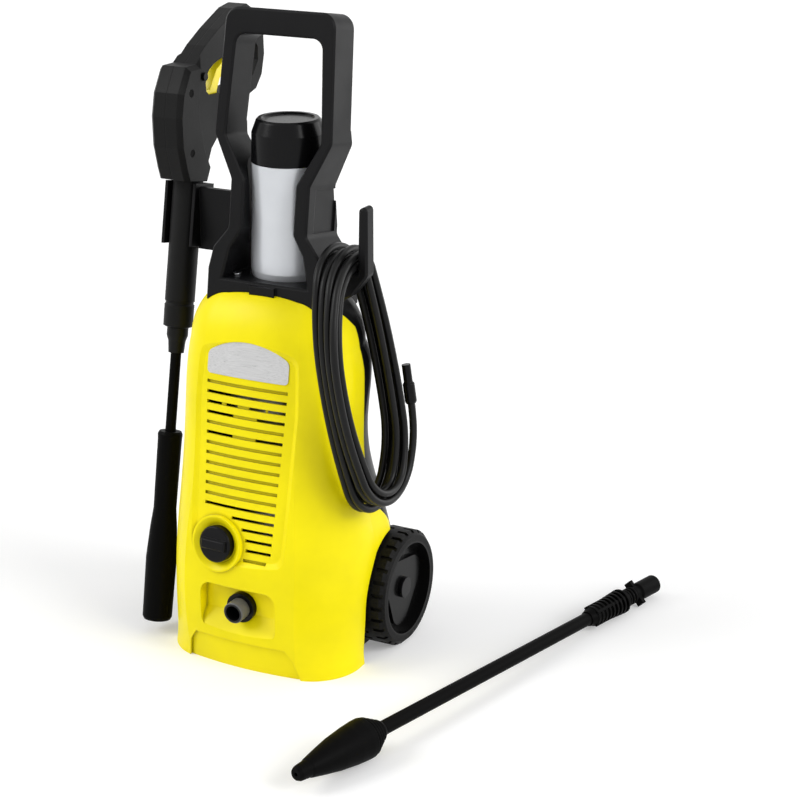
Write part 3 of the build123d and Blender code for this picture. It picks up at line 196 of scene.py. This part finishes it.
# %% [markdown]
# ## The net bag
# The bag at the back is a stretched net, open at the top. A flat grid is laid out first, then every knot of it
# moves to its place on the bag: the grid's height runs from the casing under the floor and up the outer side, and
# its width bulges in the middle and comes back to the casing at both sides. A wireframe modifier turns the grid
# into cords with holes between them. A smooth band closes the mouth.

# %% Net bag
bag_half, bag_back = 0.0625, 0.1186
knots_across, knots_up = 34, 42
cord_thick, strap_thick = 0.0014, 0.0018
strap_from, strap_tall = 0.965, 0.035
bag_profile = [(0.0, 0.0012, 0.1915), (0.10, 0.018, 0.1912), (0.20, 0.0255, 0.203), (1.0, 0.0042, 0.339)]


def bag_place(across, up):
    """A point of the bag: across runs from -1 to 1 and up from 0 to 1."""
    for (low, deep_low, z_low), (high, deep_high, z_high) in zip(bag_profile, bag_profile[1:]):
        if up <= high:
            share = (up - low) / (high - low)
            deep = deep_low + (deep_high - deep_low) * share
            z = z_low + (z_high - z_low) * share
            return Vector((across * bag_half, bag_back + deep * (1 - abs(across) ** 5), z))
    return None


def make_net():
    bpy.ops.object.select_all(action="DESELECT")
    bpy.ops.mesh.primitive_grid_add(x_subdivisions=knots_across, y_subdivisions=knots_up, size=2)
    net = bpy.context.object
    net.name = "bag_net"
    for knot in net.data.vertices:
        knot.co = bag_place(knot.co.x, min(max((knot.co.y + 1) / 2, 0.0), 1.0))
    cords = net.modifiers.new("cords", "WIREFRAME")
    cords.thickness = cord_thick
    cords.use_even_offset = False
    bpy.ops.object.modifier_apply(modifier="cords")
    return net


def make_mouth_band():
    """A flat strap along the top edge of the net."""
    bpy.ops.object.select_all(action="DESELECT")
    bpy.ops.mesh.primitive_grid_add(x_subdivisions=knots_across, y_subdivisions=2, size=2)
    band = bpy.context.object
    band.name = "bag_mouth"
    for knot in band.data.vertices:
        knot.co = bag_place(knot.co.x, strap_from + strap_tall * (knot.co.y + 1) / 2)
    strap = band.modifiers.new("strap", "SOLIDIFY")
    strap.thickness = strap_thick
    strap.offset = 0.0
    bpy.ops.object.modifier_apply(modifier="strap")
    bpy.ops.object.shade_smooth_by_angle(angle=radians(40))
    return band


net, mouth = make_net(), make_mouth_band()
for piece in (net, mouth):
    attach(piece, "machine")
    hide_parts("rear_net_pocket")
print("net", len(net.data.polygons), "faces, band", len(mouth.data.polygons))


# %% [markdown]
# ## Finishes
# Nearly all of the machine is moulded plastic. What the eye reads as plastic is a very fine spark-eroded texture,
# a slightly uneven gloss, edges with a small radius that catch the light, a few rubbed places and painted corner
# shade.
# The effects are shared by every moulding, so they live in one node group with its own inputs; each material sets
# its own scale and strength.

# %% Node helpers
def new_group(name, inputs, outputs):
    group = bpy.data.node_groups.new(name, "ShaderNodeTree")
    for label, kind, value in inputs:
        socket = group.interface.new_socket(label, in_out="INPUT", socket_type=kind)
        socket.default_value = value
    for label, kind in outputs:
        group.interface.new_socket(label, in_out="OUTPUT", socket_type=kind)
    return group, group.nodes.new("NodeGroupInput"), group.nodes.new("NodeGroupOutput")


def add_node(tree, kind, **values):
    """A node with its settings and its unlinked inputs in one go."""
    node = tree.nodes.new(kind)
    for key, value in values.items():
        if hasattr(node, key):
            setattr(node, key, value)
        else:
            node.inputs[key.replace("_", " ")].default_value = value
    return node


def new_finish(name):
    """A new material, its node tree and its shader."""
    material = bpy.data.materials.new(name)
    material.use_nodes = True
    return material, material.node_tree, material.node_tree.nodes["Principled BSDF"]


print("node helpers ready")


# %% [markdown]
# The group takes a colour and a few strengths. Three noises at three scales give the grain, the uneven gloss and the
# rubbed places. A bevel node rounds the edges in the light, and an ambient occlusion node paints shade into the
# corners.

# %% Nodes of the moulded surface
moulded, takes, gives = new_group(
    "moulded_surface",
    [("Colour", "NodeSocketColor", (0.5, 0.5, 0.5, 1)), ("Rubbed", "NodeSocketColor", (0.6, 0.6, 0.6, 1)),
     ("Grain", "NodeSocketFloat", 900.0), ("Depth", "NodeSocketFloat", 0.15), ("Gloss", "NodeSocketFloat", 0.4),
     ("Uneven", "NodeSocketFloat", 0.12), ("Wear", "NodeSocketFloat", 0.1)],
    [("Colour", "NodeSocketColor"), ("Roughness", "NodeSocketFloat"), ("Normal", "NodeSocketVector")])
where = add_node(moulded, "ShaderNodeTexCoord")
grain = add_node(moulded, "ShaderNodeTexNoise", Detail=3.0, Roughness=0.6)
cloud = add_node(moulded, "ShaderNodeTexNoise", Scale=14.0, Detail=4.0, Roughness=0.55)
scuff = add_node(moulded, "ShaderNodeTexNoise", Scale=55.0, Detail=6.0, Roughness=0.7, Distortion=0.6)
worn = add_node(moulded, "ShaderNodeMapRange", From_Min=0.60, From_Max=0.78)
worn_much = add_node(moulded, "ShaderNodeMath", operation="MULTIPLY")
mixed = add_node(moulded, "ShaderNodeMix", data_type="RGBA")
shade = add_node(moulded, "ShaderNodeMix", data_type="RGBA", blend_type="MULTIPLY")
tint = add_node(moulded, "ShaderNodeMapRange", From_Min=0.3, From_Max=0.7, To_Min=0.93, To_Max=1.04)
spread = add_node(moulded, "ShaderNodeMapRange", From_Min=0.3, From_Max=0.7, To_Min=-0.5, To_Max=0.5)
amount = add_node(moulded, "ShaderNodeMath", operation="MULTIPLY")
rough = add_node(moulded, "ShaderNodeMath", operation="ADD", use_clamp=True)
bump = add_node(moulded, "ShaderNodeBump", Distance=0.0004)
soft_edge = add_node(moulded, "ShaderNodeBevel", samples=6, Radius=0.0012)
# Painted shade: the ambient occlusion darkens the colour in corners and creases.
crevice = add_node(moulded, "ShaderNodeAmbientOcclusion", Distance=0.006)
crevice.only_local = True
crevice.samples = 8
painted_crevice_shade = add_node(moulded, "ShaderNodeMapRange", From_Min=0.30, From_Max=0.85, To_Min=0.40, To_Max=1.0)
deep = add_node(moulded, "ShaderNodeMix", data_type="RGBA", blend_type="MULTIPLY")
print("group", moulded.name, len(moulded.nodes), "nodes")


# %% Links of the moulded surface
link = moulded.links.new
for noise in (grain, cloud, scuff):
    link(where.outputs["Object"], noise.inputs["Vector"])
link(takes.outputs["Grain"], grain.inputs["Scale"])
link(scuff.outputs["Fac"], worn.inputs["Value"])
link(worn.outputs["Result"], worn_much.inputs[0])
link(takes.outputs["Wear"], worn_much.inputs[1])
link(cloud.outputs["Fac"], tint.inputs["Value"])
shade.inputs["Factor"].default_value = 1.0
link(takes.outputs["Colour"], shade.inputs["A"])
link(tint.outputs["Result"], shade.inputs["B"])
link(worn_much.outputs[0], mixed.inputs["Factor"])
link(shade.outputs["Result"], mixed.inputs["A"])
link(takes.outputs["Rubbed"], mixed.inputs["B"])
link(cloud.outputs["Fac"], spread.inputs["Value"])
link(spread.outputs["Result"], amount.inputs[0])
link(takes.outputs["Uneven"], amount.inputs[1])
link(amount.outputs[0], rough.inputs[0])
link(takes.outputs["Gloss"], rough.inputs[1])
link(grain.outputs["Fac"], bump.inputs["Height"])
link(takes.outputs["Depth"], bump.inputs["Strength"])
link(soft_edge.outputs["Normal"], bump.inputs["Normal"])
# The colour is multiplied by the painted crevice shade.
link(crevice.outputs["AO"], painted_crevice_shade.inputs["Value"])
deep.inputs["Factor"].default_value = 1.0
link(mixed.outputs["Result"], deep.inputs["A"])
link(painted_crevice_shade.outputs["Result"], deep.inputs["B"])
link(deep.outputs["Result"], gives.inputs["Colour"])
link(rough.outputs[0], gives.inputs["Roughness"])
link(bump.outputs["Normal"], gives.inputs["Normal"])
print("group", moulded.name, len(moulded.links), "links")


# %% Moulded finishes
def moulding(name, colour, rubbed, grain, depth, gloss, uneven, wear, metallic=0.0, specular=0.5):
    """A plastic or metal finish on the shared moulded surface."""
    material, tree, shader = new_finish(name)
    surface = tree.nodes.new("ShaderNodeGroup")
    surface.node_tree = moulded
    settings = {"Colour": (*colour, 1), "Rubbed": (*rubbed, 1), "Grain": grain, "Depth": depth, "Gloss": gloss,
                "Uneven": uneven, "Wear": wear}
    for label, value in settings.items():
        surface.inputs[label].default_value = value
    tree.links.new(surface.outputs["Colour"], shader.inputs["Base Color"])
    tree.links.new(surface.outputs["Roughness"], shader.inputs["Roughness"])
    tree.links.new(surface.outputs["Normal"], shader.inputs["Normal"])
    shader.inputs["Metallic"].default_value = metallic
    shader.inputs["Specular IOR Level"].default_value = specular
    material.diffuse_color = (*colour, 1)
    return material


yellow_casing = moulding("yellow_casing", (0.97, 0.83, 0.001), (0.98, 0.88, 0.02), 1100, 0.08, 0.38, 0.10, 0.04,
                         specular=0.18)
black_casing = moulding("black_casing", (0.005, 0.005, 0.0055), (0.02, 0.02, 0.02), 1000, 0.22, 0.42, 0.14, 0.12,
                        specular=0.13)
black_smooth = moulding("black_smooth", (0.004, 0.004, 0.0045), (0.015, 0.015, 0.015), 1200, 0.05, 0.22, 0.10, 0.06,
                        specular=0.13)
black_rubbery = moulding("black_rubbery", (0.006, 0.006, 0.006), (0.02, 0.02, 0.02), 700, 0.25, 0.5, 0.12, 0.12,
                         specular=0.13)
black_matt = moulding("black_matt", (0.003, 0.003, 0.003), (0.012, 0.012, 0.012), 900, 0.18, 0.46, 0.12, 0.10,
                      specular=0.03)
hose_skin = moulding("hose_skin", (0.006, 0.006, 0.006), (0.02, 0.02, 0.02), 1400, 0.08, 0.34, 0.12, 0.10,
                     specular=0.18)
grey_port = moulding("grey_port", (0.20, 0.20, 0.205), (0.4, 0.4, 0.4), 1000, 0.15, 0.38, 0.10, 0.10)
yellow_lever = moulding("yellow_lever", (0.93, 0.77, 0.005), (0.98, 0.85, 0.2), 1300, 0.05, 0.28, 0.08, 0.04)
turned_steel = moulding("turned_steel", (0.52, 0.53, 0.54), (0.7, 0.7, 0.7), 1500, 0.05, 0.30, 0.12, 0.10, 1.0)
cast_metal = moulding("cast_metal", (0.45, 0.46, 0.47), (0.6, 0.6, 0.6), 500, 0.35, 0.46, 0.14, 0.10, 1.0)
brass_metal = moulding("brass_metal", (0.60, 0.42, 0.14), (0.75, 0.58, 0.25), 1200, 0.05, 0.30, 0.12, 0.10, 1.0)
print(len(bpy.data.materials), "finishes")


# %% [markdown]
# ## Brushed plate and silver tank
# The plate on the front needs more than the shared group. It is brushed across its width, so its grain is a noise
# that is stretched far along X. The tank is silver-grey and less than half a metal, so that it mirrors the pale room
# on one side and the dark handle on the other.

# %% Plate and tank finishes
def brushed_finish():
    material, tree, shader = new_finish("brushed_plate")
    place = add_node(tree, "ShaderNodeTexCoord")
    stretch = add_node(tree, "ShaderNodeMapping")
    stretch.inputs["Scale"].default_value = (30, 2500, 2500)
    lines = add_node(tree, "ShaderNodeTexNoise", Scale=1.0, Detail=3.0)
    tone = add_node(tree, "ShaderNodeMapRange", From_Min=0.3, From_Max=0.7, To_Min=0.50, To_Max=0.64)
    rough_lines = add_node(tree, "ShaderNodeMapRange", From_Min=0.3, From_Max=0.7, To_Min=0.26, To_Max=0.42)
    relief = add_node(tree, "ShaderNodeBump", Strength=0.08, Distance=0.0002)
    tree.links.new(place.outputs["Object"], stretch.inputs["Vector"])
    tree.links.new(stretch.outputs["Vector"], lines.inputs["Vector"])
    tree.links.new(lines.outputs["Fac"], tone.inputs["Value"])
    tree.links.new(lines.outputs["Fac"], rough_lines.inputs["Value"])
    tree.links.new(lines.outputs["Fac"], relief.inputs["Height"])
    tree.links.new(tone.outputs["Result"], shader.inputs["Base Color"])
    tree.links.new(rough_lines.outputs["Result"], shader.inputs["Roughness"])
    tree.links.new(relief.outputs["Normal"], shader.inputs["Normal"])
    shader.inputs["Metallic"].default_value = 0.9
    return material


brushed_plate = brushed_finish()
silver_tank = moulding("silver_tank", (0.66, 0.68, 0.71), (0.78, 0.79, 0.8), 1200, 0.03, 0.32, 0.06, 0.05,
                       metallic=0.4)
print("plate and tank finishes made")


# %% [markdown]
# ## Wheels and outlet
# Disc and tyre of a wheel are one moulding, but the disc is polished and the tread is dull and dusty. The outlet is a
# grey stub whose mouth is painted black, a painted shade for the bore. In both, the distance from an axis tells the
# two
# zones apart: Object coordinates give the place, and its length across the axis gives the radius.

# %% Ringed finishes
def ringed_finish(name, centre, across, edge, inside, outside, dusty_tone, glosses, reliefs, specular):
    """Two zones round an axis: inside up to the first edge, outside from the second, with dust outside."""
    material, tree, shader = new_finish(name)
    place = add_node(tree, "ShaderNodeTexCoord")
    from_axis = add_node(tree, "ShaderNodeVectorMath", operation="SUBTRACT")
    from_axis.inputs[1].default_value = centre
    flat = add_node(tree, "ShaderNodeVectorMath", operation="MULTIPLY")
    flat.inputs[1].default_value = across
    reach = add_node(tree, "ShaderNodeVectorMath", operation="LENGTH")
    outer = add_node(tree, "ShaderNodeMapRange", From_Min=edge[0], From_Max=edge[1])
    dust = add_node(tree, "ShaderNodeTexNoise", Scale=420.0, Detail=5.0, Roughness=0.65)
    dusty = add_node(tree, "ShaderNodeMapRange", From_Min=0.45, From_Max=0.75, To_Min=0.0, To_Max=0.5)
    zones = add_node(tree, "ShaderNodeMix", data_type="RGBA")
    dust_here = add_node(tree, "ShaderNodeMath", operation="MULTIPLY")
    tone = add_node(tree, "ShaderNodeMix", data_type="RGBA")
    gloss = add_node(tree, "ShaderNodeMapRange", To_Min=glosses[0], To_Max=glosses[1])
    relief = add_node(tree, "ShaderNodeBump", Distance=0.0004)
    depth = add_node(tree, "ShaderNodeMapRange", To_Min=reliefs[0], To_Max=reliefs[1])
    zones.inputs["A"].default_value = (*inside, 1)
    zones.inputs["B"].default_value = (*outside, 1)
    tone.inputs["B"].default_value = (*dusty_tone, 1)
    links = tree.links.new
    links(place.outputs["Object"], from_axis.inputs[0])
    links(place.outputs["Object"], dust.inputs["Vector"])
    links(from_axis.outputs["Vector"], flat.inputs[0])
    links(flat.outputs["Vector"], reach.inputs[0])
    links(reach.outputs["Value"], outer.inputs["Value"])
    links(dust.outputs["Fac"], dusty.inputs["Value"])
    links(dusty.outputs["Result"], dust_here.inputs[0])
    links(outer.outputs["Result"], dust_here.inputs[1])
    links(outer.outputs["Result"], zones.inputs["Factor"])
    links(zones.outputs["Result"], tone.inputs["A"])
    links(dust_here.outputs[0], tone.inputs["Factor"])
    links(outer.outputs["Result"], gloss.inputs["Value"])
    links(outer.outputs["Result"], depth.inputs["Value"])
    links(dust.outputs["Fac"], relief.inputs["Height"])
    links(depth.outputs["Result"], relief.inputs["Strength"])
    links(tone.outputs["Result"], shader.inputs["Base Color"])
    links(gloss.outputs["Result"], shader.inputs["Roughness"])
    links(relief.outputs["Normal"], shader.inputs["Normal"])
    shader.inputs["Specular IOR Level"].default_value = specular
    return material


axle, outlet = (0, 0.104, 0.0612), (0, 0, 0.069)
along_x, along_y = (0, 1, 1), (1, 0, 1)
disc_edge, shaded_mouth_edge = (0.0475, 0.0505), (0.0098, 0.0102)
black, dark_dust = (0.004, 0.004, 0.004), (0.02, 0.019, 0.018)
grey, pale_dust = (0.11, 0.11, 0.11), (0.16, 0.16, 0.16)
wheel_plastic = ringed_finish("wheel_plastic", axle, along_x, disc_edge, black, black, dark_dust,
                              glosses=(0.22, 0.52), reliefs=(0.02, 0.35), specular=0.09)
# The outlet's mouth, inside the first edge, is painted black: painted shade for the bore.
outlet_plastic = ringed_finish("outlet_plastic", outlet, along_y, shaded_mouth_edge, black, grey, pale_dust,
                               glosses=(0.35, 0.40), reliefs=(0.05, 0.10), specular=0.3)
print("ringed finishes made")


# %% [markdown]
# ## Finishes on the solids
# Each solid keeps its shape and only changes its clothes. One list says which finish belongs to which piece; a
# solid that isn't named gets the black moulding, which most of the machine is made of.

# %% Dress the solids
dress = {
    yellow_casing: ["front_shell"],
    yellow_lever: ["trigger"],
    brushed_plate: ["badge_plate"],
    silver_tank: ["bottle"],
    black_smooth: ["bottle_lid", "switch_knob", "outlet_ring", "hose_fittings", "axle_caps"],
    black_rubbery: ["gun_left_half", "gun_right_half", "lance_barrel"],
    black_matt: ["nozzle_sleeve", "lance_tube", "blaster_head", "blaster_tube", "blaster_grip", "gun_screws"],
    wheel_plastic: ["left_wheel", "right_wheel"],
    hose_skin: ["hose_coil"],
    outlet_plastic: ["outlet_fitting"],
    grey_port: ["inlet_fitting", "inlet_filter", "detergent_pipe", "bottle_valve"],
    turned_steel: ["wheel_axle", "casing_screws", "handle_screws", "trigger_pin", "trigger_spring", "valve_rod",
                   "motor_rotor", "motor_bearings", "swash_plate", "pump_pistons", "piston_springs",
                   "check_valves"],
    cast_metal: ["motor_housing", "motor_stator", "capacitor", "pump_housing", "cylinder_head", "outlet_pipe"],
    brass_metal: ["valve_body", "spray_tip", "blaster_rotor"],
}
finish_of = {name: finish for finish, names in dress.items() for name in names}


def wear_finish(piece, finish):
    piece.data.materials.clear()
    piece.data.materials.append(finish)


for name, solid in nodes.items():
    wear_finish(solid, finish_of.get(name, black_casing))
wear_finish(hose, hose_skin)
for piece in (net, mouth):
    wear_finish(piece, black_rubbery)
print("dressed", len(nodes), "solids")


# %% [markdown]
# ## Floor and light
# The machine stands on a plain white floor. A pale sky lights it from all around, two suns with wide discs stand to
# the left and to the right, and a window behind the machine puts a sheen on the sides of the black pieces. The floor
# alone would look light grey, so rays from the camera, from mirrors and through glass also see it glow a little; rays
# that light the object don't. That keeps the floor white and its shadow soft.

# %% Stage
def seen_directly(tree):
    """One for rays that show the background, zero for rays that light the object."""
    path = tree.nodes.new("ShaderNodeLightPath")
    either = add_node(tree, "ShaderNodeMath", operation="MAXIMUM")
    both = add_node(tree, "ShaderNodeMath", operation="MAXIMUM")
    tree.links.new(path.outputs["Is Camera Ray"], either.inputs[0])
    tree.links.new(path.outputs["Is Glossy Ray"], either.inputs[1])
    tree.links.new(either.outputs[0], both.inputs[0])
    tree.links.new(path.outputs["Is Transmission Ray"], both.inputs[1])
    return both.outputs[0]


floor_glow, sky_fill = 0.24, 0.55
bpy.ops.object.select_all(action="DESELECT")
bpy.ops.mesh.primitive_plane_add(size=30, location=(0, 0, 0))
ground = bpy.context.object
ground.name = "studio_floor"
paper, paper_tree, sheet = new_finish("studio_paper")
sheet.inputs["Base Color"].default_value = (0.82, 0.82, 0.82, 1)
sheet.inputs["Roughness"].default_value = 1.0
sheet.inputs["Specular IOR Level"].default_value = 0.0
sheet.inputs["Emission Strength"].default_value = 1.0
glow = add_node(paper_tree, "ShaderNodeMapRange", To_Min=0.0, To_Max=floor_glow)
paper_tree.links.new(seen_directly(paper_tree), glow.inputs["Value"])
paper_tree.links.new(glow.outputs["Result"], sheet.inputs["Emission Color"])
ground.data.materials.append(paper)
print("floor", ground.name)


# %% Sky
world = bpy.context.scene.world or bpy.data.worlds.new("studio")
bpy.context.scene.world = world
world.use_nodes = True
sky = world.node_tree.nodes["Background"]
sky.inputs["Color"].default_value = (1, 1, 1, 1)
strength = add_node(world.node_tree, "ShaderNodeMapRange", To_Min=sky_fill, To_Max=1.0)
world.node_tree.links.new(seen_directly(world.node_tree), strength.inputs["Value"])
world.node_tree.links.new(strength.outputs["Result"], sky.inputs["Strength"])
print("sky", sky_fill)


# %% Lamps
def lamp(kind, name, place, aim, power):
    bpy.ops.object.light_add(type=kind, location=place)
    light = bpy.context.object
    light.name = name
    light.data.energy = power
    light.rotation_euler = (Vector(aim) - Vector(place)).to_track_quat("-Z", "Y").to_euler()
    light.visible_camera = False
    return light


middle = (0, 0, 0.3)
sun_disc, window_size = radians(30), 1.6
lamp("SUN", "left_sun", (-1.6, -1.1, 1.7), middle, 1.35).data.angle = sun_disc
lamp("SUN", "right_sun", (1.9, -0.2, 1.5), middle, 1.5).data.angle = sun_disc
lamp("AREA", "rear_window", (1.7, 2.3, 0.9), middle, 16).data.size = window_size
bpy.context.scene.view_settings.view_transform = "Standard"
print("lamps", [light.name for light in bpy.data.lights])
